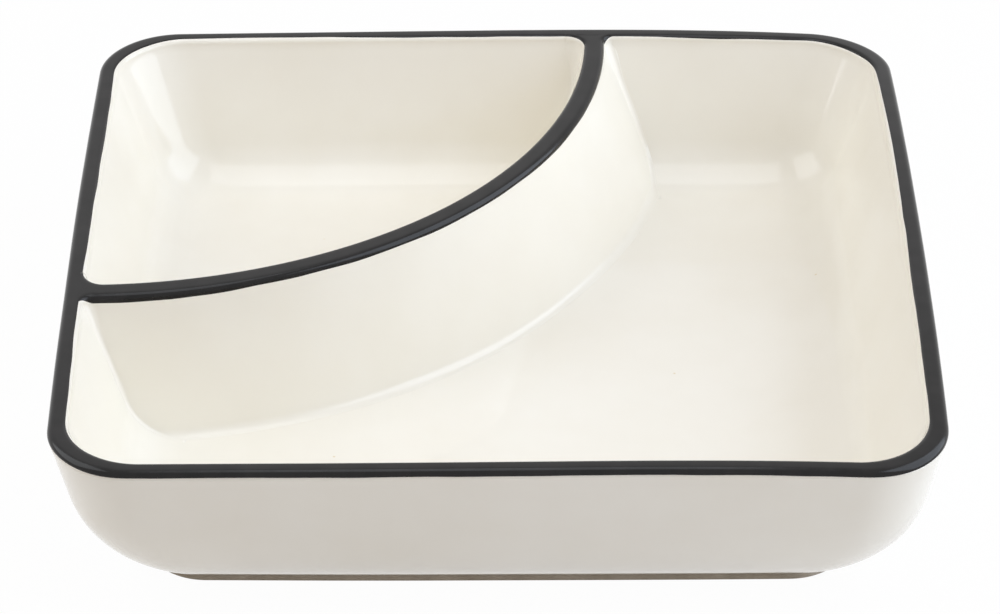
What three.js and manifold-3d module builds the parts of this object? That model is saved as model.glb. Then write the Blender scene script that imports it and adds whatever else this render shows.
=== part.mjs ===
// Square serving bowl in glazed stoneware, with a quarter-round corner compartment and a black-glazed rim.
// Millimetres, +Z up, +X to the right, +Y to the back, origin in the middle of the surface it stands on.
import * as THREE from 'three';
import Module from 'manifold-3d';

const degrees = THREE.MathUtils.degToRad;

// Overall size
const BOWL_WIDTH = 280; // across the middle of two opposite sides
const BOWL_HEIGHT = 62.7;
const SIDE_BOW = 1.6; // how far each side swells out at its middle

// Rim and its black-glazed band
const RIM_WIDTH = 5.8;
const BAND_HEIGHT = 2.1;
const BAND_ROUND = 1.8; // rounding of the band's upper edges
const RIM_CORNER = 26; // corner radius seen from above, outside
const CAVITY_CORNER = 24; // corner radius seen from above, inside

// Outer wall: straight below the rim, then one long arc to the foot
const OUTER_SLOPE = degrees(12);
const OUTER_ARC = 57;

// Foot ring
const FOOT_INSET = 28.6;
const FOOT_WIDTH = 7;
const FOOT_HEIGHT = 2.6;
const FOOT_CORNER = 14;
const FOOT_ROUND = 0.8;

// Inside: sloping wall, wide fillet, flat floor
const INNER_SLOPE = degrees(21);
const FLOOR_FILLET = 20;
const FLOOR_CORNER = 13;
const FLOOR_THICKNESS = 8;
const RECESS_DEPTH = 3.9; // hollow underneath, above the foot's seat
const RECESS_RUN = 3; // sloping edge of that hollow

// Divider: its arc is centred on the corner where the two inner rim lines would cross
const DIVIDER_RADIUS = 166.6;
const DIVIDER_WIDTH = 6;
const FRONT_DRAFT = degrees(17);
const BACK_DRAFT = degrees(12);
const DIVIDER_FOOT_FILLET = 3;
const FRONT_JUNCTION = 3.5; // fillets seen from above, where the divider runs into the rim
const BACK_JUNCTION = 6.5;

// Slip seam between pieces that are cut to each other
const SEAM = 0.3;

// Facets
const CORNER_STEPS = 8;
const SIDE_STEPS = 6;
const ARC_STEPS = 8;
const FILLET_STEPS = 6;
const ROUND_STEPS = 3;
const DIVIDER_STEPS = 22;
const JUNCTION_STEPS = 4;
const JUNCTION_OVERRUN = 4; // how far the divider is swept past the rim line before it is trimmed

// Levels and half sizes that follow from the sizes above
const cornerHalf = BOWL_WIDTH / 2 - SIDE_BOW;
const seatLevel = BOWL_HEIGHT - BAND_HEIGHT;
const undersideLevel = FOOT_HEIGHT + RECESS_DEPTH;
const floorLevel = undersideLevel + FLOOR_THICKNESS;
const floorDepth = BOWL_HEIGHT - floorLevel;
const cavityHalf = cornerHalf - RIM_WIDTH;

const glaze = { color: 0xf3f0e8, roughness: 0.12, metalness: 0 };
const blackGlaze = { color: 0x1d1c1d, roughness: 0.16, metalness: 0 };
const bareClay = { color: 0xa49583, roughness: 0.85, metalness: 0 };

const wasm = await Module();
wasm.setup();

// A rounded square seen from above, its sides swelling out a little at the middle
function outline(inset, corner) {
  const half = cornerHalf - inset;
  const points = [];
  for (let quarter = 0; quarter < 4; quarter += 1) {
    const turn = quarter * Math.PI / 2;
    const local = [];
    for (let step = 0; step < SIDE_STEPS; step += 1) {
      local.push([half, (half - corner) * (2 * step / SIDE_STEPS - 1)]);
    }
    for (let step = 0; step < CORNER_STEPS; step += 1) {
      const angle = step / CORNER_STEPS * Math.PI / 2;
      local.push([half - corner + corner * Math.cos(angle), half - corner + corner * Math.sin(angle)]);
    }
    for (const [along, across] of local) {
      points.push(new THREE.Vector2(along, across).rotateAround(new THREE.Vector2(), turn));
    }
  }
  return points.map((point) => {
    const swellX = SIDE_BOW * (1 - (point.y / cornerHalf) ** 2) * point.x / cornerHalf;
    const swellY = SIDE_BOW * (1 - (point.x / cornerHalf) ** 2) * point.y / cornerHalf;
    return new THREE.Vector2(point.x + swellX, point.y + swellY);
  });
}

function ring(inset, level, corner) {
  return outline(inset, corner).map((point) => new THREE.Vector3(point.x, point.y, level));
}

// Corner radius of the outer skin, which tightens from the rim to the foot
function outerCorner(inset) {
  return THREE.MathUtils.lerp(RIM_CORNER, FOOT_CORNER, inset / FOOT_INSET);
}

// Where the inner wall meets the floor before the fillet, and where the fillet ends on the floor
const floorMeet = RIM_WIDTH + floorDepth * Math.tan(INNER_SLOPE);
const filletReach = FLOOR_FILLET * Math.tan((Math.PI / 2 - INNER_SLOPE) / 2);
const floorInset = floorMeet + filletReach;

function innerCorner(inset) {
  return THREE.MathUtils.lerp(CAVITY_CORNER, FLOOR_CORNER, (inset - RIM_WIDTH) / (floorInset - RIM_WIDTH));
}

function outerInset(depth) {
  return depth * Math.tan(OUTER_SLOPE);
}

function innerInset(depth) {
  return RIM_WIDTH + depth * Math.tan(INNER_SLOPE);
}

// Outer skin from the foot up to the band: an arc tangent to the straight wall and ending on the foot
function outerProfile() {
  const down = new THREE.Vector2(Math.sin(OUTER_SLOPE), -Math.cos(OUTER_SLOPE));
  const inward = new THREE.Vector2(Math.cos(OUTER_SLOPE), Math.sin(OUTER_SLOPE));
  const reach = new THREE.Vector2(FOOT_INSET, FOOT_HEIGHT - BOWL_HEIGHT);
  const offAxis = reach.dot(inward) - OUTER_ARC;
  const arcLength = Math.sqrt(OUTER_ARC ** 2 - offAxis ** 2);
  const straight = reach.dot(down) - arcLength;
  const sweep = Math.atan2(arcLength, -offAxis);
  const points = [];
  for (let step = ARC_STEPS; step >= 0; step -= 1) {
    const angle = sweep * step / ARC_STEPS;
    const along = straight + OUTER_ARC * Math.sin(angle);
    const across = OUTER_ARC * (1 - Math.cos(angle));
    const point = down.clone().multiplyScalar(along).addScaledVector(inward, across);
    points.push([point.x, BOWL_HEIGHT + point.y]);
  }
  points.push([outerInset(BAND_HEIGHT), seatLevel]);
  return points;
}

// Inner skin from a given depth down to the floor; gap shrinks the cavity evenly
function innerProfile(topDepth, gap) {
  const sideGap = gap / Math.cos(INNER_SLOPE);
  const points = [[innerInset(topDepth) + sideGap, BOWL_HEIGHT - topDepth]];
  const centreInset = floorInset;
  const centreLevel = floorLevel + FLOOR_FILLET;
  const radius = FLOOR_FILLET - gap;
  for (let step = 0; step <= FILLET_STEPS; step += 1) {
    const angle = INNER_SLOPE + (Math.PI / 2 - INNER_SLOPE) * step / FILLET_STEPS;
    points.push([centreInset - radius * Math.cos(angle), centreLevel - radius * Math.sin(angle)]);
  }
  return points;
}

// Quarter-round corners of a band from its low outer edge over the top to its low inner edge
function bandProfile(lowOuter, highOuter, highInner, lowInner) {
  const points = [[lowOuter, seatLevel]];
  const roundLevel = BOWL_HEIGHT - BAND_ROUND;
  const towardsInner = Math.sign(highInner - highOuter);
  for (let step = 0; step <= ROUND_STEPS; step += 1) {
    const angle = step / ROUND_STEPS * Math.PI / 2;
    const shift = towardsInner * BAND_ROUND * (1 - Math.cos(angle));
    points.push([highOuter + shift, roundLevel + BAND_ROUND * Math.sin(angle)]);
  }
  for (let step = ROUND_STEPS; step >= 0; step -= 1) {
    const angle = step / ROUND_STEPS * Math.PI / 2;
    const shift = towardsInner * BAND_ROUND * (1 - Math.cos(angle));
    points.push([highInner - shift, roundLevel + BAND_ROUND * Math.sin(angle)]);
  }
  points.push([lowInner, seatLevel]);
  return points;
}

// Turns triangles into a geometry whose faces point outwards
function closedGeometry(positions, triangles) {
  let volume = 0;
  for (const [a, b, c] of triangles) {
    volume += positions[a].dot(positions[b].clone().cross(positions[c]));
  }
  const outward = volume > 0 ? triangles : triangles.map(([a, b, c]) => [a, c, b]);
  const geometry = new THREE.BufferGeometry();
  geometry.setAttribute('position', new THREE.Float32BufferAttribute(positions.flatMap((p) => [p.x, p.y, p.z]), 3));
  geometry.setIndex(outward.flat());
  geometry.computeVertexNormals();
  return geometry;
}

function wallTriangles(count, from, to, triangles) {
  for (let step = 0; step < count; step += 1) {
    const next = (step + 1) % count;
    triangles.push([from + step, from + next, to + next], [from + step, to + next, to + step]);
  }
}

// Skin through a row of like loops: closed by flat ends, or running round into itself
function loft(loops, endless) {
  const count = loops[0].length;
  const positions = loops.flat();
  const triangles = [];
  for (let level = 0; level + 1 < loops.length; level += 1) {
    wallTriangles(count, level * count, (level + 1) * count, triangles);
  }
  const last = (loops.length - 1) * count;
  if (endless) {
    wallTriangles(count, last, 0, triangles);
    return closedGeometry(positions, triangles);
  }
  for (const [first, loop, flip] of [[0, loops[0], true], [last, loops[loops.length - 1], false]]) {
    const centre = positions.length;
    const middle = loop.reduce((sum, point) => sum.add(point), new THREE.Vector3()).divideScalar(count);
    positions.push(middle);
    for (let step = 0; step < count; step += 1) {
      const next = (step + 1) % count;
      const edge = flip ? [first + next, first + step] : [first + step, first + next];
      triangles.push([centre, ...edge]);
    }
  }
  return closedGeometry(positions, triangles);
}

function toSolid(geometry) {
  const vertProperties = new Float32Array(geometry.getAttribute('position').array);
  const triVerts = new Uint32Array(geometry.getIndex().array);
  return new wasm.Manifold(new wasm.Mesh({ numProp: 3, vertProperties, triVerts }));
}

function toGeometry(solid) {
  const mesh = solid.getMesh();
  const geometry = new THREE.BufferGeometry();
  geometry.setAttribute('position', new THREE.Float32BufferAttribute(mesh.vertProperties, mesh.numProp));
  geometry.setIndex(new THREE.Uint32BufferAttribute(mesh.triVerts, 1));
  geometry.computeVertexNormals();
  return geometry;
}

// Walls and floor in one skin: underside, foot seat, outer wall, band seat, inner wall, floor
function makeShell() {
  const seatInner = FOOT_INSET + FOOT_WIDTH;
  const seatInnerCorner = FOOT_CORNER * (1 - FOOT_WIDTH / cornerHalf);
  const loops = [
    ring(seatInner + RECESS_RUN, undersideLevel, seatInnerCorner),
    ring(seatInner, FOOT_HEIGHT, seatInnerCorner),
  ];
  for (const [inset, level] of outerProfile()) {
    loops.push(ring(inset, level, outerCorner(inset)));
  }
  for (const [inset, level] of innerProfile(BAND_HEIGHT, 0)) {
    loops.push(ring(inset, level, innerCorner(inset)));
  }
  return loft(loops, false);
}

// Black band round the rim, seated on the shell's flat top
function makeRimBand() {
  const profile = bandProfile(
    outerInset(BAND_HEIGHT), outerInset(BAND_ROUND), innerInset(BAND_ROUND), innerInset(BAND_HEIGHT),
  );
  const halfway = RIM_WIDTH / 2;
  return loft(profile.map(([inset, level]) => {
    const corner = inset < halfway ? outerCorner(inset) : innerCorner(inset);
    return ring(inset, level, corner);
  }), true);
}

function makeFootRing() {
  const outer = FOOT_INSET;
  const inner = FOOT_INSET + FOOT_WIDTH;
  const innerRadius = FOOT_CORNER * (1 - FOOT_WIDTH / cornerHalf);
  return loft([
    ring(outer, FOOT_HEIGHT, FOOT_CORNER),
    ring(outer, FOOT_ROUND, FOOT_CORNER),
    ring(outer + FOOT_ROUND, 0, FOOT_CORNER),
    ring(inner - FOOT_ROUND, 0, innerRadius),
    ring(inner, FOOT_ROUND, innerRadius),
    ring(inner, FOOT_HEIGHT, innerRadius),
  ], true);
}

// The hollow of the bowl less the seam, carried up past the rim; it trims the divider to the walls
function makeCavity() {
  const above = BOWL_HEIGHT + BAND_HEIGHT;
  const sideGap = SEAM / Math.cos(INNER_SLOPE);
  const mouth = innerInset(BAND_HEIGHT) + sideGap;
  const loops = [ring(mouth, above, innerCorner(mouth))];
  for (const [inset, level] of innerProfile(BAND_HEIGHT, SEAM)) {
    loops.push(ring(inset, level, innerCorner(inset)));
  }
  return toSolid(loft(loops, false));
}

// Angles of the divider's arc, closer together where it widens into the rim
function dividerAngles() {
  const junction = Math.max(FRONT_JUNCTION, BACK_JUNCTION) / DIVIDER_RADIUS;
  const overrun = JUNCTION_OVERRUN / DIVIDER_RADIUS;
  const start = -Math.PI / 2 - rimLineAngle();
  const end = rimLineAngle();
  const angles = [start - overrun];
  for (let step = 0; step < JUNCTION_STEPS; step += 1) {
    angles.push(start + junction * step / JUNCTION_STEPS);
  }
  for (let step = 0; step <= DIVIDER_STEPS; step += 1) {
    angles.push(THREE.MathUtils.lerp(start + junction, end - junction, step / DIVIDER_STEPS));
  }
  for (let step = JUNCTION_STEPS - 1; step >= 0; step -= 1) {
    angles.push(end - junction * step / JUNCTION_STEPS);
  }
  angles.push(end + overrun);
  return angles;
}

// The rim line swells out past the arc's centre line by this angle
function rimLineAngle() {
  const meet = DIVIDER_RADIUS - cavityHalf;
  const swell = SIDE_BOW * (1 - (meet / cornerHalf) ** 2) * cavityHalf / cornerHalf;
  return swell / DIVIDER_RADIUS;
}

// Extra half width of the divider close to the rim, a round fillet seen from above
function junctionFlare(angle, fillet) {
  const nearest = Math.min(angle + Math.PI / 2, -angle) + rimLineAngle();
  const distance = THREE.MathUtils.clamp(nearest * DIVIDER_RADIUS, 0, fillet);
  return fillet - Math.sqrt(fillet ** 2 - (fillet - distance) ** 2);
}

function frontRadius(depth) {
  return DIVIDER_RADIUS + DIVIDER_WIDTH / 2 + depth * Math.tan(FRONT_DRAFT);
}

function backRadius(depth) {
  return DIVIDER_RADIUS - DIVIDER_WIDTH / 2 - depth * Math.tan(BACK_DRAFT);
}

// Sweeps a section, given as radius and level, round the divider's arc
function sweepDivider(section) {
  return loft(dividerAngles().map((angle) => {
    const frontFlare = junctionFlare(angle, FRONT_JUNCTION);
    const backFlare = junctionFlare(angle, BACK_JUNCTION);
    return section.map(([radius, level]) => {
      const reach = radius + (radius > DIVIDER_RADIUS ? frontFlare : -backFlare);
      const x = -cavityHalf + reach * Math.cos(angle);
      const y = cavityHalf + reach * Math.sin(angle);
      return new THREE.Vector3(x, y, level);
    });
  }), false);
}

// Fillet in the angle between a divider face and the floor
function footFillet(radius, draft, side) {
  const reach = DIVIDER_FOOT_FILLET * Math.tan((Math.PI / 2 - draft) / 2);
  const centre = radius + side * reach;
  const level = floorLevel + DIVIDER_FOOT_FILLET;
  const points = [];
  for (let step = 0; step <= ROUND_STEPS; step += 1) {
    const angle = draft + (Math.PI / 2 - draft) * step / ROUND_STEPS;
    points.push([
      centre - side * DIVIDER_FOOT_FILLET * Math.cos(angle),
      level - DIVIDER_FOOT_FILLET * Math.sin(angle),
    ]);
  }
  return points;
}

function makeDividerWall(cavity) {
  const front = footFillet(frontRadius(floorDepth), FRONT_DRAFT, 1);
  const back = footFillet(backRadius(floorDepth), BACK_DRAFT, -1);
  const section = [
    [frontRadius(BAND_HEIGHT), seatLevel],
    ...front,
    ...back.reverse(),
    [backRadius(BAND_HEIGHT), seatLevel],
  ];
  return toGeometry(toSolid(sweepDivider(section)).intersect(cavity));
}

function makeDividerBand(cavity) {
  const section = bandProfile(
    frontRadius(BAND_HEIGHT), frontRadius(BAND_ROUND), backRadius(BAND_ROUND), backRadius(BAND_HEIGHT),
  );
  return toGeometry(toSolid(sweepDivider(section)).intersect(cavity));
}

const bowl = new THREE.Group();

function addPiece(name, geometry, finish) {
  const mesh = new THREE.Mesh(geometry, new THREE.MeshStandardMaterial(finish));
  mesh.name = name;
  bowl.add(mesh);
}

const cavity = makeCavity();
addPiece('bowl_shell', makeShell(), glaze);
addPiece('divider_wall', makeDividerWall(cavity), glaze);
addPiece('rim_band', makeRimBand(), blackGlaze);
addPiece('divider_band', makeDividerBand(cavity), blackGlaze);
addPiece('foot_ring', makeFootRing(), bareClay);

export default bowl;
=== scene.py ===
# Square stoneware serving bowl with a quarter-round corner compartment: its glazes, clay and studio light.
# Sizes are millimetres in the values below and metres in the meshes.
import math

import bpy
from mathutils import Matrix, Vector, noise


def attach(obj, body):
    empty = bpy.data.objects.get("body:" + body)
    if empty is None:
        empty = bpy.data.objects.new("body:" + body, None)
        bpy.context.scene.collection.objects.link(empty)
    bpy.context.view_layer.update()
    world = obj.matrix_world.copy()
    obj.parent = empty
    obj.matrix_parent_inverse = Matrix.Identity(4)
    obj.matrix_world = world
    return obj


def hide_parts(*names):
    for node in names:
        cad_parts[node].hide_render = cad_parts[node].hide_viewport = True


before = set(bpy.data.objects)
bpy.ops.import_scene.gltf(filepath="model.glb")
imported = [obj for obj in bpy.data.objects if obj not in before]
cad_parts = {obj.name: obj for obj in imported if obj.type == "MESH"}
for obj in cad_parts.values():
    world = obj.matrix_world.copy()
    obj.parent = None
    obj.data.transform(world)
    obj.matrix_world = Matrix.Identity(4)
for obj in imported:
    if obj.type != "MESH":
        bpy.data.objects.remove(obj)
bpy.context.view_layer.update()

MM = 0.001

# Overall size of the bowl
BOWL_WIDTH = 280.0
BOWL_HEIGHT = 62.7
SIDE_BOW = 1.6

# Rim and the black-glazed band on it
RIM_WIDTH = 5.8
BAND_HEIGHT = 2.1
BAND_ROUND = 1.8
BAND_CROWN = 0.15
CROWN_REACH = 3.0
RIM_CORNER = 26.0
CAVITY_CORNER = 24.0

# Where the brushed black glaze ends short of the rim's inner edge, by the direction seen from the middle:
# 0 is the right side, 90 the back, 180 the left, 270 the front. It ends no closer than the least edge
RIM_EDGES = (
    (0, 0.9), (25, 1.3), (45, 0.45), (57, 0.3), (72, 0.55), (81, 0.65), (95, 0.7), (107, 0.9), (120, 1.4),
    (136, 1.1), (147, 0.4), (165, 0.4), (180, 0.7), (200, 1.1), (215, 0.7), (270, 0.8), (345, 0.4),
)
LEAST_EDGE = 0.02

# Where it ends on the divider: short of the back edge, and down the front, lower at the left end
DIVIDER_EDGE = 0.4
FRONT_COVER = 2.1
LEFT_COVER = 2.8
LEFT_COVER_START = 0.78
LEFT_COVER_FULL = 0.9
FACE_TURN = math.radians(120)

# Outer wall, a little fuller low down on the right side; the peak is a share of the wall's height
OUTER_SLOPE = math.radians(12)
OUTER_ARC = 57.0
RIGHT_BELLY = 1.6
BELLY_PEAK = 0.1

# Foot ring
FOOT_INSET = 28.6
FOOT_WIDTH = 7.0
FOOT_HEIGHT = 2.6
FOOT_CORNER = 18.0
FOOT_ROUND = 0.9

# Inside of the bowl
INNER_SLOPE = math.radians(21)
FLOOR_FILLET = 20.0
FLOOR_CORNER = 13.0
FLOOR_THICKNESS = 8.0
RECESS_DEPTH = 3.9
RECESS_RUN = 3.0

# Divider, front side facing the large compartment
DIVIDER_RADIUS = 166.6
DIVIDER_WIDTH = 6.0
LEFT_WIDTH = 7.4
RIGHT_WIDTH = 6.3
DIVIDER_SHIFT_X = 0.8
DIVIDER_SHIFT_Y = 0.5
FRONT, BACK = 1, -1
DRAFT = {FRONT: math.radians(17), BACK: math.radians(12)}
JUNCTION = {FRONT: 3.5, BACK: 6.5}
DIVIDER_FOOT_FILLET = 3.5
WALL_FILLET = 1.6
LEAST_FILLET = 1.2
JUNCTION_FADE = 16.0
RIGHT_SPLAY = 0.13
SPLAY_DEPTH = 4.0
SPLAY_SPAN = math.radians(35)
BURIED = 4.0
END_SINK = 1.5
BAND_SINK = 0.02
# The black band's hidden lower line lies this share of the way across, from front to back
BAND_KEEL = 0.7

# Sag of the rim in the kiln: the left side lies lower, and each corner droops by its own amount
RIM_LEAN = 2.4
DROOP_FRONT_LEFT = 0.5
DROOP_FRONT_RIGHT = 4.6
DROOP_BACK_LEFT = -0.4
DROOP_BACK_RIGHT = 4.0
DROOP_POWER = 3

# Hand-made unevenness of the fired clay: how much, and how wide each swell is
WARP = 0.25
WARP_WIDTH = 70.0
RIPPLE = 0.05
RIPPLE_WIDTH = 22.0
GLAZE_LINE_WANDER = 0.22
GLAZE_LINE_WIDTH = 13.0

# Mesh fineness
CORNER_STEPS = 24
SIDE_STEPS = 60
ARC_STEPS = 28
FILLET_STEPS = 20
ROUND_STEPS = 8
TOP_STEPS = 6
WALL_STEPS = 14
FLOOR_RINGS = 26
DIVIDER_STEPS = 110
JUNCTION_STEPS = 14
WALL_PASSES = 4
STATION_PASSES = 2

# Studio
FLOOR_WHITE = 0.97
FLOOR_SIZE = 6.0
AMBIENT = 0.345
LAMP_AIM = 0.03

# Camera of the photograph, found from the square rim and the round divider
FRAME_WIDTH = 1000
FRAME_HEIGHT = 614
RIM_MIDDLE_X = 496.6
RIM_MIDDLE_Y = 231.5
FOCAL_PIXELS = 4406.9
CAMERA_DISTANCE = 1446.5
CAMERA_ELEVATION = math.radians(31.15)
CAMERA_YAW = math.radians(0.23)
SENSOR = 36.0
VIEW_END = 100.0

corner_half = BOWL_WIDTH / 2 - SIDE_BOW
cavity_half = corner_half - RIM_WIDTH
divider_x = DIVIDER_SHIFT_X - cavity_half
divider_y = DIVIDER_SHIFT_Y + cavity_half
seat_level = BOWL_HEIGHT - BAND_HEIGHT
underside_level = FOOT_HEIGHT + RECESS_DEPTH
floor_level = underside_level + FLOOR_THICKNESS
floor_depth = BOWL_HEIGHT - floor_level
floor_inset = (
    RIM_WIDTH
    + floor_depth * math.tan(INNER_SLOPE)
    + FLOOR_FILLET * math.tan((math.pi / 2 - INNER_SLOPE) / 2)
)
round_depth = BAND_ROUND + BAND_CROWN


def lerp(start, end, share):
    return start + (end - start) * share


def smooth(share):
    share = min(max(share, 0.0), 1.0)
    return share * share * (3 - 2 * share)


def outer_inset(depth):
    return depth * math.tan(OUTER_SLOPE)


def inner_inset(depth):
    return RIM_WIDTH + depth * math.tan(INNER_SLOPE)


edge_out = outer_inset(round_depth)
edge_in = inner_inset(round_depth)


def swell(along, across):
    """Coordinate of a straight-sided square moved to the bowed side."""
    return along + SIDE_BOW * (1 - (across / corner_half) ** 2) * along / corner_half


def outline(inset, corner):
    """Rounded square seen from above, counter-clockwise."""
    half = corner_half - inset
    flat = half - corner
    quarter = []
    for step in range(SIDE_STEPS):
        quarter.append((half, flat * (2 * step / SIDE_STEPS - 1)))
    for step in range(CORNER_STEPS):
        angle = step / CORNER_STEPS * math.pi / 2
        quarter.append((flat + corner * math.cos(angle), flat + corner * math.sin(angle)))
    points = []
    for turn in range(4):
        for x, y in quarter:
            for _ in range(turn):
                x, y = -y, x
            points.append((swell(x, y), swell(y, x)))
    return points


def ring(inset, level, corner):
    return [Vector((x, y, level)) for x, y in outline(inset, corner)]


def outer_corner(inset):
    return lerp(RIM_CORNER, FOOT_CORNER, inset / FOOT_INSET)


def inner_corner(inset):
    return lerp(CAVITY_CORNER, FLOOR_CORNER, (inset - RIM_WIDTH) / (floor_inset - RIM_WIDTH))


def cavity_inset(level):
    """How far in the inner skin is at a level, fillet included."""
    centre = floor_level + FLOOR_FILLET
    tangent = centre - FLOOR_FILLET * math.sin(INNER_SLOPE)
    if level >= tangent:
        return inner_inset(BOWL_HEIGHT - level)
    drop = min(centre - level, FLOOR_FILLET)
    return floor_inset - math.sqrt(FLOOR_FILLET ** 2 - drop ** 2)


def outer_profile():
    """Outer skin from the foot to the band: one long arc, then straight."""
    down = Vector((math.sin(OUTER_SLOPE), -math.cos(OUTER_SLOPE)))
    inward = Vector((math.cos(OUTER_SLOPE), math.sin(OUTER_SLOPE)))
    reach = Vector((FOOT_INSET, FOOT_HEIGHT - BOWL_HEIGHT))
    off_axis = reach.dot(inward) - OUTER_ARC
    arc_length = math.sqrt(OUTER_ARC ** 2 - off_axis ** 2)
    straight = reach.dot(down) - arc_length
    sweep = math.atan2(arc_length, -off_axis)
    points = []
    for step in range(ARC_STEPS, -1, -1):
        angle = sweep * step / ARC_STEPS
        along = straight + OUTER_ARC * math.sin(angle)
        across = OUTER_ARC * (1 - math.cos(angle))
        point = down * along + inward * across
        points.append((point.x, BOWL_HEIGHT + point.y))
    start = points[-1]
    for step in range(1, WALL_STEPS + 1):
        share = step / WALL_STEPS
        points.append((lerp(start[0], outer_inset(BAND_HEIGHT), share), lerp(start[1], seat_level, share)))
    return points


def inner_profile():
    """Inner skin from below the rounded edge down to the edge of the flat floor."""
    centre = floor_level + FLOOR_FILLET
    tangent = centre - FLOOR_FILLET * math.sin(INNER_SLOPE)
    points = []
    for step in range(1, WALL_STEPS):
        level = lerp(BOWL_HEIGHT - round_depth, tangent, step / WALL_STEPS)
        points.append((inner_inset(BOWL_HEIGHT - level), level))
    for step in range(FILLET_STEPS + 1):
        angle = lerp(INNER_SLOPE, math.pi / 2, step / FILLET_STEPS)
        inset = floor_inset - FLOOR_FILLET * math.cos(angle)
        points.append((inset, centre - FLOOR_FILLET * math.sin(angle)))
    return points


def top_drop(distance):
    """How far the rounded, faintly crowned top lies below its highest line, by distance from the edge."""
    near = min(max(distance, 0.0), BAND_ROUND)
    rounding = BAND_ROUND - math.sqrt(BAND_ROUND ** 2 - (BAND_ROUND - near) ** 2)
    flat = 1 - min(max(distance, 0.0) / CROWN_REACH, 1.0)
    return rounding + BAND_CROWN * flat * flat


def taper(angle):
    """Half of what the divider is wider than its even width, thick at the left end and thin at the back."""
    return (lerp(RIGHT_WIDTH, LEFT_WIDTH, -angle / (math.pi / 2)) - DIVIDER_WIDTH) / 2


def half_width(side, angle):
    return DIVIDER_WIDTH / 2 + round_depth * math.tan(DRAFT[side]) + taper(angle)


def rim_distance(past, across, angle):
    """Distance from the nearest edge of the joined rim and divider, fillets included.
    past is measured from the rim's inner edge into the cavity, across from the divider's centre line."""
    side = FRONT if across > 0 else BACK
    fillet = JUNCTION[side]
    inside = half_width(side, angle) - abs(across)
    if inside + fillet <= 0:
        return -past
    if past >= fillet:
        return inside
    return math.hypot(fillet - past, inside + fillet) - fillet


def rim_level(inset, point):
    along, beside = point.x - divider_x, point.y - divider_y
    across = math.hypot(along, beside) - DIVIDER_RADIUS
    distance = min(inset - edge_out, rim_distance(inset - edge_in, across, math.atan2(beside, along)))
    return BOWL_HEIGHT - top_drop(distance)


def wander(point):
    """How far the edge of the brushed black glaze strays."""
    return GLAZE_LINE_WANDER * noise.noise(point / GLAZE_LINE_WIDTH)


def rim_edge(point):
    """How far short of the rim's inner edge the black glaze ends at a place."""
    turn = math.degrees(math.atan2(point.y, point.x)) % 360
    stops = (*RIM_EDGES, (RIM_EDGES[0][0] + 360, RIM_EDGES[0][1]))
    for (start, near), (end, far) in zip(stops, stops[1:]):
        if start <= turn <= end:
            edge = lerp(near, far, smooth((turn - start) / (end - start))) - wander(point)
            return max(edge, LEAST_EDGE)


def sag(x, y):
    """How far the rim has sunk at a place, seen from above."""
    if y < 0:
        corner = DROOP_FRONT_LEFT if x < 0 else DROOP_FRONT_RIGHT
    else:
        corner = DROOP_BACK_LEFT if x < 0 else DROOP_BACK_RIGHT
    return corner * abs(x * y / corner_half ** 2) ** DROOP_POWER + RIM_LEAN * (1 - x / corner_half) / 2


def uneven(point):
    """Moves a point by the sag of the rim and by the slow warp and ripple of fired clay."""
    pull = 0.5 * WARP * (noise.noise(point / WARP_WIDTH) - 1)
    pull += 0.5 * RIPPLE * (noise.noise(point / RIPPLE_WIDTH) - 1)
    moved = point + Vector((point.x, point.y, 0)).normalized() * pull
    moved.z -= sag(point.x, point.y) * point.z / BOWL_HEIGHT
    return moved


def mesh_piece(name, points, faces, material):
    mesh = bpy.data.meshes.new(name)
    mesh.from_pydata([uneven(point) * MM for point in points], [], faces)
    mesh.validate()
    mesh.shade_smooth()
    mesh.materials.append(material)
    piece = bpy.data.objects.new(name, mesh)
    bpy.context.scene.collection.objects.link(piece)
    return piece


def strip_faces(loops, endless_loop, endless_row):
    """Quads between neighbouring loops of the same length."""
    count = len(loops[0])
    rows = len(loops)
    faces = []
    for row in range(rows if endless_row else rows - 1):
        low = row * count
        high = (row + 1) % rows * count
        for step in range(count if endless_loop else count - 1):
            after = (step + 1) % count
            faces.append((low + step, low + after, high + after, high + step))
    return faces


def fill_rings(inset, level, corner, rings):
    """Ever smaller rings that close a flat floor towards its middle."""
    edge = ring(inset, level, corner)
    loops = []
    for step in range(1, rings):
        share = 1 - step / rings
        loops.append([Vector((point.x * share, point.y * share, level)) for point in edge])
    return loops


def outer_glaze_ring():
    """Lower edge of the black glaze outside, a wandering line."""
    inset = outer_inset(BAND_HEIGHT)
    loop = ring(inset, seat_level, outer_corner(inset))
    for point in loop:
        point.z += wander(point)
    return loop


def round_distance(edge, share, is_black):
    """Distance from a rounded edge, for a share of the way over its black or its ivory part."""
    limit = math.asin(1 - edge / BAND_ROUND)
    turn = limit * share if is_black else lerp(limit, math.pi / 2, share)
    return BAND_ROUND * (1 - math.sin(turn))


def inner_round_rings(is_black):
    """Rings over the rounding inside the rim, black down to the glaze's edge or ivory below it."""
    edge = ring(edge_in, BOWL_HEIGHT, inner_corner(edge_in))
    beyond = ring(edge_in + 1, BOWL_HEIGHT, inner_corner(edge_in + 1))
    loops = []
    for step in range(ROUND_STEPS + 1):
        loop = []
        for point, inward in zip(edge, beyond):
            distance = round_distance(rim_edge(point), step / ROUND_STEPS, is_black)
            moved = point + (point - inward) * distance
            moved.z = rim_level(edge_in - distance, moved) if is_black else BOWL_HEIGHT - top_drop(distance)
            loop.append(moved)
        loops.append(loop)
    return loops


def outer_wall_ring(inset, level):
    """Ring of the outer skin, a little fuller low down on the right side."""
    share = (level - FOOT_HEIGHT) / (seat_level - FOOT_HEIGHT)
    belly = RIGHT_BELLY * smooth(share / BELLY_PEAK) * smooth((1 - share) / (1 - BELLY_PEAK))
    loop = ring(inset, level, outer_corner(inset))
    for point in loop:
        point.x += belly * smooth(point.x / corner_half)
    return loop


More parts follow.
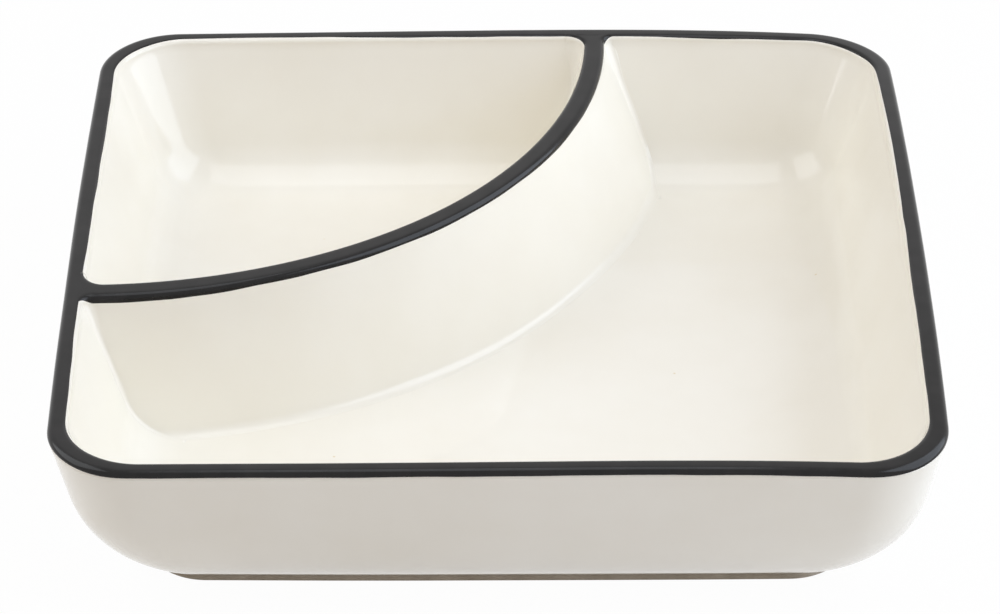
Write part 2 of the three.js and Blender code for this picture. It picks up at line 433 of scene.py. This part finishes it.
def make_shell(material):
    seat_in = FOOT_INSET + FOOT_WIDTH
    seat_corner = FOOT_CORNER * (1 - FOOT_WIDTH / corner_half)
    recess = seat_in + RECESS_RUN
    loops = list(reversed(fill_rings(recess, underside_level, seat_corner, FLOOR_RINGS)))
    loops.append(ring(recess, underside_level, seat_corner))
    loops.append(ring(seat_in, FOOT_HEIGHT, seat_corner))
    for inset, level in outer_profile()[:-1]:
        loops.append(outer_wall_ring(inset, level))
    loops.append(outer_glaze_ring())
    hidden = edge_in - 2 * BAND_ROUND
    loops.append(ring(hidden, seat_level, inner_corner(hidden)))
    loops += inner_round_rings(False)
    for inset, level in inner_profile():
        loops.append(ring(inset, level, inner_corner(inset)))
    loops += fill_rings(floor_inset, floor_level, FLOOR_CORNER, FLOOR_RINGS)
    faces = strip_faces(loops, True, False)
    count = len(loops[0])
    last = (len(loops) - 1) * count
    faces.append(tuple(reversed(range(count))))
    faces.append(tuple(range(last, last + count)))
    points = [point for loop in loops for point in loop]
    return mesh_piece("bowl_shell_glazed", points, faces, material)


def make_rim_band(material):
    insets = [edge_out + BAND_ROUND * (1 - math.cos(step / ROUND_STEPS * math.pi / 2))
              for step in range(ROUND_STEPS + 1)]
    last = edge_in - BAND_ROUND
    insets += [lerp(insets[-1], last, step / TOP_STEPS) for step in range(1, TOP_STEPS)]
    loops = [outer_glaze_ring()]
    for inset in insets:
        corner = outer_corner(inset) if inset < RIM_WIDTH / 2 else inner_corner(inset)
        loop = ring(inset, BOWL_HEIGHT, corner)
        for point in loop:
            point.z = rim_level(inset, point)
        loops.append(loop)
    loops += inner_round_rings(True)
    hidden = edge_in - 2 * BAND_ROUND
    loops.append(ring(hidden, seat_level, inner_corner(hidden)))
    points = [point for loop in loops for point in loop]
    return mesh_piece("rim_band_black", points, strip_faces(loops, True, True), material)


def make_foot_ring(material):
    inner = FOOT_INSET + FOOT_WIDTH
    inner_radius = FOOT_CORNER * (1 - FOOT_WIDTH / corner_half)
    loops = [ring(FOOT_INSET, FOOT_HEIGHT, FOOT_CORNER)]
    for step in range(ROUND_STEPS + 1):
        angle = step / ROUND_STEPS * math.pi / 2
        inset = FOOT_INSET + FOOT_ROUND * (1 - math.cos(angle))
        loops.append(ring(inset, FOOT_ROUND * (1 - math.sin(angle)), FOOT_CORNER))
    for step in range(ROUND_STEPS, -1, -1):
        angle = step / ROUND_STEPS * math.pi / 2
        inset = inner - FOOT_ROUND * (1 - math.cos(angle))
        loops.append(ring(inset, FOOT_ROUND * (1 - math.sin(angle)), inner_radius))
    loops.append(ring(inner, FOOT_HEIGHT, inner_radius))
    points = [point for loop in loops for point in loop]
    return mesh_piece("foot_ring_clay", points, strip_faces(loops, True, True), material)


def wall_angle(radius, inset, shift):
    """Angle past the square-on direction at which an arc of the divider meets the wall."""
    half = corner_half - inset
    wall = half
    for _ in range(WALL_PASSES):
        angle = math.asin(max(-1.0, min(1.0, (wall - cavity_half + shift) / radius)))
        along = radius * math.cos(angle) - cavity_half
        wall = half + SIDE_BOW * (1 - (along / corner_half) ** 2) * half / corner_half
    return angle


def junction_fillet(side, level):
    """Fillet between divider and wall, wide at the rim, tight further down."""
    depth = BOWL_HEIGHT - level
    fillet = lerp(JUNCTION[side], WALL_FILLET, smooth((depth - round_depth) / JUNCTION_FADE))
    return max(fillet * smooth((level - floor_level) / FLOOR_FILLET), LEAST_FILLET)


def half_line(radius, wall_inset, fillet, shift):
    """Angles from one end of a line of the divider to its middle, each with its distance from the wall."""
    meet = wall_angle(radius, wall_inset, shift)
    start = meet - fillet / radius
    angles = [wall_angle(radius, wall_inset - BURIED, shift)]
    for step in range(JUNCTION_STEPS):
        angles.append(lerp(meet, start, 1 - math.cos(step / JUNCTION_STEPS * math.pi / 2)))
    angles += [lerp(start, -math.pi / 4, step / DIVIDER_STEPS) for step in range(DIVIDER_STEPS + 1)]
    return [(angle, (meet - angle) * radius) for angle in angles]


def divider_line(radius, wall_inset, fillet):
    """Angles along one line of the divider, from the back wall to the left wall."""
    back = half_line(radius, wall_inset, fillet, -DIVIDER_SHIFT_Y)
    left = half_line(radius, wall_inset, fillet, DIVIDER_SHIFT_X)
    return back + [(-math.pi / 2 - angle, past) for angle, past in reversed(left[:-1])]


def flare(past, fillet):
    """Extra half width close to the wall, a round fillet seen from above."""
    near = min(max(past, 0.0), fillet)
    return fillet - math.sqrt(fillet ** 2 - (fillet - near) ** 2)


def splay(angle, depth):
    """Extra spread of the divider's front face where it nears the back wall."""
    return RIGHT_SPLAY * max(depth - SPLAY_DEPTH, 0.0) * smooth(1 + angle / SPLAY_SPAN)


def divider_point(across, angle, level):
    radius = DIVIDER_RADIUS + across
    return Vector((divider_x + radius * math.cos(angle), divider_y + radius * math.sin(angle), level))


def face_offset(side, depth):
    return DIVIDER_WIDTH / 2 + depth * math.tan(DRAFT[side])


def face_row(side, offset, level):
    """One line along a face of the divider, running into both walls."""
    fillet = junction_fillet(side, level)
    line = divider_line(DIVIDER_RADIUS + side * offset, cavity_inset(max(level, floor_level)), fillet)
    row = []
    for angle, past in line:
        across = offset + taper(angle) + flare(past, fillet)
        if side == FRONT:
            across += splay(angle, BOWL_HEIGHT - level)
        row.append(divider_point(side * across, angle, level))
    return row


def face_section(side, top_depth):
    """Offset and level down one face of the divider, with the fillet at its foot."""
    draft = DRAFT[side]
    base = face_offset(side, floor_depth)
    centre = base + DIVIDER_FOOT_FILLET * math.tan((math.pi / 2 - draft) / 2)
    low = floor_level + DIVIDER_FOOT_FILLET * (1 - math.sin(draft))
    points = []
    for step in range(1, WALL_STEPS * 2):
        level = lerp(BOWL_HEIGHT - top_depth, low, step / (WALL_STEPS * 2))
        points.append((face_offset(side, BOWL_HEIGHT - level), level))
    for step in range(ROUND_STEPS + 1):
        angle = lerp(draft, math.pi / 2, step / ROUND_STEPS)
        points.append((
            centre - DIVIDER_FOOT_FILLET * math.cos(angle),
            floor_level + DIVIDER_FOOT_FILLET * (1 - math.sin(angle)),
        ))
    points.append((centre + DIVIDER_FOOT_FILLET, floor_level - BURIED))
    return points


def top_stations():
    """Places along the divider's top: which end, whether sunk into the rim, the turn into the rim there,
    and the share of the way from the end's fillet to the middle."""
    half = [(1.0, math.pi / 2, 0.0)]
    half += [(0.0, math.pi / 2 * (1 - step / JUNCTION_STEPS), 0.0) for step in range(JUNCTION_STEPS)]
    half += [(0.0, 0.0, step / DIVIDER_STEPS) for step in range(DIVIDER_STEPS + 1)]
    return [("back", *place) for place in half] + [("left", *place) for place in reversed(half[:-1])]


def station_point(side, station, distance, level):
    """Point a distance in from the divider's edge, which turns round the fillet into the rim's edge."""
    end, sunk, turn, along = station
    fillet = JUNCTION[side]
    meet = wall_angle(DIVIDER_RADIUS, edge_in, DIVIDER_SHIFT_X if end == "left" else -DIVIDER_SHIFT_Y)
    past = fillet - (fillet + distance) * math.sin(turn) - sunk * END_SINK
    across = 0.0
    for _ in range(STATION_PASSES):
        start = meet - past / (DIVIDER_RADIUS + side * across)
        angle = lerp(start, -math.pi / 4, along)
        if end == "left":
            angle = -math.pi / 2 - angle
        across = half_width(side, angle) + fillet - (fillet + distance) * math.cos(turn)
    return divider_point(side * across, angle, level - sunk * END_SINK)


def glaze_limit(side, station):
    """How far over the rounding the black glaze reaches, as an angle; past 90 degrees it is on the face."""
    point = station_point(side, station, 0.0, BOWL_HEIGHT)
    at_rim = math.asin(1 - rim_edge(point) / BAND_ROUND)
    if side == BACK:
        own = math.asin(1 - (DIVIDER_EDGE - wander(point)) / BAND_ROUND)
    else:
        angle = math.atan2(point.y - divider_y, point.x - divider_x)
        left = (-angle / (math.pi / 2) - LEFT_COVER_START) / (LEFT_COVER_FULL - LEFT_COVER_START)
        cover = lerp(FRONT_COVER, LEFT_COVER, smooth(left)) - wander(point)
        own = math.pi / 2 + (cover - round_depth) / BAND_ROUND
    return lerp(own, at_rim, smooth(station[2] / (math.pi / 2)))


def section_row(side, share, is_black):
    """One line along the divider's rounded edge, a share of the way over its black or its ivory part."""
    row = []
    for station in top_stations():
        limit = glaze_limit(side, station)
        turn = limit * share if is_black else lerp(limit, FACE_TURN, share)
        down = max(turn - math.pi / 2, 0.0) * BAND_ROUND
        distance = BAND_ROUND * (1 - math.sin(min(turn, math.pi / 2)))
        level = BOWL_HEIGHT - top_drop(distance) - down
        row.append(station_point(side, station, distance - down * math.tan(DRAFT[side]), level))
    return row


def top_row(share):
    """One line over the flat top, between the two roundings, sunk a hair where it overlaps the rim."""
    row = []
    fronts = section_row(FRONT, 0.0, True)
    backs = section_row(BACK, 0.0, True)
    for front, back, station in zip(fronts, backs, top_stations()):
        point = front.lerp(back, share)
        inside = BAND_ROUND + min(share, 1 - share) * (front - back).length
        point.z += top_drop(BAND_ROUND) - top_drop(inside) - BAND_SINK * smooth(station[2] / (math.pi / 2))
        row.append(point)
    return row


def grid_piece(name, rows, material):
    """Closed skin from lines that run round a section, with flat ends."""
    faces = strip_faces(rows, False, True)
    count = len(rows[0])
    faces.append(tuple(row * count for row in reversed(range(len(rows)))))
    faces.append(tuple(row * count + count - 1 for row in range(len(rows))))
    points = [point for row in rows for point in row]
    return mesh_piece(name, points, faces, material)


def make_divider_wall(material):
    face_depth = round_depth + (FACE_TURN - math.pi / 2) * BAND_ROUND
    rows = [section_row(FRONT, step / ROUND_STEPS, False) for step in range(ROUND_STEPS + 1)]
    rows += [face_row(FRONT, offset, level) for offset, level in face_section(FRONT, face_depth)]
    rows += [face_row(BACK, offset, level) for offset, level in reversed(face_section(BACK, face_depth))]
    rows += [section_row(BACK, step / ROUND_STEPS, False) for step in range(ROUND_STEPS, -1, -1)]
    return grid_piece("divider_wall_glazed", rows, material)


def make_divider_band(material):
    rows = [section_row(FRONT, step / ROUND_STEPS, True) for step in range(ROUND_STEPS, -1, -1)]
    rows += [top_row(step / TOP_STEPS) for step in range(1, TOP_STEPS)]
    rows += [section_row(BACK, step / ROUND_STEPS, True) for step in range(ROUND_STEPS + 1)]
    rows.append([Vector((point.x, point.y, seat_level)) for point in top_row(BAND_KEEL)])
    return grid_piece("divider_band_black", rows, material)


def linear(hex_colour):
    """sRGB hex value as the linear colour a shader takes."""
    channels = [int(hex_colour[place:place + 2], 16) / 255 for place in (1, 3, 5)]
    curved = [c / 12.92 if c <= 0.04045 else ((c + 0.055) / 1.055) ** 2.4 for c in channels]
    return (*curved, 1.0)


def add_node(tree, kind, sockets=None, **settings):
    """Adds a node; a socket takes a value, or a pair of node and output name to link from."""
    node = tree.nodes.new(kind)
    for name, value in settings.items():
        setattr(node, name, value)
    for name, value in (sockets or {}).items():
        if isinstance(value, tuple) and isinstance(value[0], bpy.types.Node):
            tree.links.new(value[0].outputs[value[1]], node.inputs[name])
        else:
            node.inputs[name].default_value = value
    return node


def new_material(name):
    material = bpy.data.materials.new(name)
    material.use_nodes = True
    material.node_tree.nodes.clear()
    return material, material.node_tree


def per_metre(size_mm):
    """Texture scale that makes one cell this many millimetres wide."""
    return 1 / (size_mm * MM)


def ramp_between(tree, source, low, high, low_colour, high_colour):
    ramp = add_node(tree, "ShaderNodeValToRGB", {"Fac": source})
    ramp.color_ramp.elements[0].position = low
    ramp.color_ramp.elements[0].color = low_colour
    ramp.color_ramp.elements[1].position = high
    ramp.color_ramp.elements[1].color = high_colour
    return ramp


def ivory_glaze():
    """Glossy ivory glaze over stoneware: deep wet gloss, cloudy warm white, a few faint iron specks."""
    material, tree = new_material("ivory_glaze_glossy")
    place = add_node(tree, "ShaderNodeTexCoord")
    cloud = add_node(tree, "ShaderNodeTexNoise", {
        "Vector": (place, "Object"), "Scale": per_metre(55), "Detail": 3.0, "Roughness": 0.55})
    colour = ramp_between(tree, (cloud, "Fac"), 0.32, 0.7, linear("#f5f1e5"), linear("#f9f6ec"))
    speck = add_node(tree, "ShaderNodeTexVoronoi", {
        "Vector": (place, "Object"), "Scale": per_metre(26), "Randomness": 1.0}, feature="F1")
    fleck = ramp_between(tree, (speck, "Distance"), 0.008, 0.022, linear("#e2cf9f"), linear("#ffffff"))
    tint = add_node(tree, "ShaderNodeMix", {
        "Factor": 0.6, "A": (colour, "Color"), "B": (fleck, "Color")},
        data_type="RGBA", blend_type="MULTIPLY")
    gloss = add_node(tree, "ShaderNodeTexNoise", {
        "Vector": (place, "Object"), "Scale": per_metre(24), "Detail": 2.0})
    rough = add_node(tree, "ShaderNodeMapRange", {
        "Value": (gloss, "Fac"), "From Min": 0.3, "From Max": 0.7, "To Min": 0.05, "To Max": 0.09})
    peel = add_node(tree, "ShaderNodeTexNoise", {
        "Vector": (place, "Object"), "Scale": per_metre(7), "Detail": 1.0})
    relief = add_node(tree, "ShaderNodeBump", {
        "Height": (peel, "Fac"), "Strength": 0.05, "Distance": 0.2 * MM})
    shader = add_node(tree, "ShaderNodeBsdfPrincipled", {
        "Base Color": (tint, "Result"), "Roughness": (rough, "Result"), "IOR": 1.48,
        "Normal": (relief, "Normal")})
    add_node(tree, "ShaderNodeOutputMaterial", {"Surface": (shader, "BSDF")})
    return material


def black_glaze():
    """Glossy black glaze brushed on the rim: near-black, a little uneven, bright edge reflections."""
    material, tree = new_material("black_glaze_glossy")
    place = add_node(tree, "ShaderNodeTexCoord")
    cloud = add_node(tree, "ShaderNodeTexNoise", {
        "Vector": (place, "Object"), "Scale": per_metre(9), "Detail": 3.0, "Roughness": 0.6})
    colour = ramp_between(tree, (cloud, "Fac"), 0.35, 0.7, linear("#100f0f"), linear("#1e1c1c"))
    gloss = add_node(tree, "ShaderNodeTexNoise", {
        "Vector": (place, "Object"), "Scale": per_metre(5), "Detail": 2.0})
    rough = add_node(tree, "ShaderNodeMapRange", {
        "Value": (gloss, "Fac"), "From Min": 0.3, "From Max": 0.7, "To Min": 0.1, "To Max": 0.2})
    relief = add_node(tree, "ShaderNodeBump", {
        "Height": (gloss, "Fac"), "Strength": 0.1, "Distance": 0.2 * MM})
    shader = add_node(tree, "ShaderNodeBsdfPrincipled", {
        "Base Color": (colour, "Color"), "Roughness": (rough, "Result"), "IOR": 1.35,
        "Normal": (relief, "Normal")})
    add_node(tree, "ShaderNodeOutputMaterial", {"Surface": (shader, "BSDF")})
    return material


def bare_clay():
    """Unglazed fired stoneware wiped clean for the kiln shelf: dry, buff, gritty."""
    material, tree = new_material("bare_stoneware_wiped")
    place = add_node(tree, "ShaderNodeTexCoord")
    cloud = add_node(tree, "ShaderNodeTexNoise", {
        "Vector": (place, "Object"), "Scale": per_metre(12), "Detail": 4.0, "Roughness": 0.65})
    colour = ramp_between(tree, (cloud, "Fac"), 0.3, 0.72, linear("#b6ad9f"), linear("#d4ccbf"))
    grit = add_node(tree, "ShaderNodeTexNoise", {
        "Vector": (place, "Object"), "Scale": per_metre(0.9), "Detail": 2.0})
    relief = add_node(tree, "ShaderNodeBump", {
        "Height": (grit, "Fac"), "Strength": 0.5, "Distance": 0.15 * MM})
    shader = add_node(tree, "ShaderNodeBsdfPrincipled", {
        "Base Color": (colour, "Color"), "Roughness": 0.88, "Normal": (relief, "Normal")})
    add_node(tree, "ShaderNodeOutputMaterial", {"Surface": (shader, "BSDF")})
    return material


def show_white(tree):
    """Share of white for what the camera sees, straight or in a reflection."""
    path = add_node(tree, "ShaderNodeLightPath")
    seen = add_node(tree, "ShaderNodeMath", {
        0: (path, "Is Camera Ray"), 1: (path, "Is Glossy Ray")}, operation="MAXIMUM")
    return add_node(tree, "ShaderNodeMath", {
        0: (seen, "Value"), 1: (path, "Is Transmission Ray")}, operation="MAXIMUM")


def studio_paper():
    """Plain white paper that keeps the bowl's soft shadow."""
    material, tree = new_material("white_studio_paper")
    matte = add_node(tree, "ShaderNodeBsdfDiffuse", {"Color": linear("#f0f0f0")})
    white = add_node(tree, "ShaderNodeEmission", {"Strength": 1.0})
    seen = show_white(tree)
    share = add_node(tree, "ShaderNodeMath", {0: (seen, "Value"), 1: FLOOR_WHITE}, operation="MULTIPLY")
    blend = add_node(tree, "ShaderNodeMixShader", {
        "Fac": (share, "Value"), 1: (matte, "BSDF"), 2: (white, "Emission")})
    add_node(tree, "ShaderNodeOutputMaterial", {"Surface": (blend, "Shader")})
    return material


def make_camera():
    camera = bpy.data.objects.new("photo_camera", bpy.data.cameras.new("photo_camera"))
    bpy.context.scene.collection.objects.link(camera)
    bpy.context.scene.camera = camera
    camera.data.sensor_width = SENSOR
    camera.data.lens = FOCAL_PIXELS / FRAME_WIDTH * SENSOR
    camera.data.clip_end = VIEW_END
    target = Vector((0, 0, BOWL_HEIGHT - RIM_LEAN / 2))
    back = Vector((
        -math.sin(CAMERA_YAW) * math.cos(CAMERA_ELEVATION),
        -math.cos(CAMERA_YAW) * math.cos(CAMERA_ELEVATION),
        math.sin(CAMERA_ELEVATION),
    ))
    facing = back.to_track_quat("Z", "Y").to_matrix().to_4x4()
    down = math.atan((FRAME_HEIGHT / 2 - RIM_MIDDLE_Y) / FOCAL_PIXELS)
    right = math.atan((FRAME_WIDTH / 2 - RIM_MIDDLE_X) / FOCAL_PIXELS)
    turn = Matrix.Rotation(-down, 4, "X") @ Matrix.Rotation(-right, 4, "Y")
    camera.matrix_world = Matrix.Translation((target + back * CAMERA_DISTANCE) * MM) @ facing @ turn


def area_lamp(name, place, size, watts, colour):
    lamp = bpy.data.objects.new(name, bpy.data.lights.new(name, "AREA"))
    bpy.context.scene.collection.objects.link(lamp)
    lamp.data.shape = "RECTANGLE"
    lamp.data.size, lamp.data.size_y = size
    lamp.data.energy = watts
    lamp.data.color = linear(colour)[:3]
    lamp.location = place
    aim = Vector((0, 0, LAMP_AIM)) - Vector(place)
    lamp.rotation_euler = aim.to_track_quat("-Z", "Y").to_euler()


def make_studio():
    scene = bpy.context.scene
    scene.view_settings.view_transform = "Standard"
    world = bpy.data.worlds.new("studio_white")
    world.use_nodes = True
    tree = world.node_tree
    tree.nodes.clear()
    seen = show_white(tree)
    room = add_node(tree, "ShaderNodeBackground", {"Color": linear("#ffeee2"), "Strength": AMBIENT})
    white = add_node(tree, "ShaderNodeBackground", {"Color": (1, 1, 1, 1), "Strength": 1.0})
    sky = add_node(tree, "ShaderNodeMixShader", {
        "Fac": (seen, "Value"), 1: (room, "Background"), 2: (white, "Background")})
    add_node(tree, "ShaderNodeOutputWorld", {"Surface": (sky, "Shader")})
    scene.world = world
    half = FLOOR_SIZE / 2
    mesh = bpy.data.meshes.new("studio_floor")
    corners = [(-half, -half, 0), (half, -half, 0), (half, half, 0), (-half, half, 0)]
    mesh.from_pydata(corners, [], [(0, 1, 2, 3)])
    mesh.materials.append(studio_paper())
    floor = bpy.data.objects.new("studio_floor", mesh)
    scene.collection.objects.link(floor)
    # Each lamp's place and size in metres, its watts and its colour
    area_lamp("key_softbox_right", (1.12, -0.03, 0.75), (1.5, 1.5), 18.0, "#e3efff")
    area_lamp("fill_softbox_left", (-1.0, 0.1, 0.9), (1.1, 1.1), 7.4, "#f6fbff")
    area_lamp("overhead_softbox", (0.0, 0.0, 1.5), (0.5, 1.3), 3.3, "#f2f8ff")


make_camera()
make_studio()

ivory = ivory_glaze()
black = black_glaze()
clay = bare_clay()
pieces = (
    (make_shell(ivory), "bowl_shell", "ivory_glaze"),
    (make_divider_wall(ivory), "divider_wall", "ivory_glaze"),
    (make_rim_band(black), "rim_band", "black_glaze"),
    (make_divider_band(black), "divider_band", "black_glaze"),
    (make_foot_ring(clay), "foot_ring", "bare_clay"),
)
for piece, node_name, slot_name in pieces:
    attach(piece, "root")
    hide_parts(node_name)
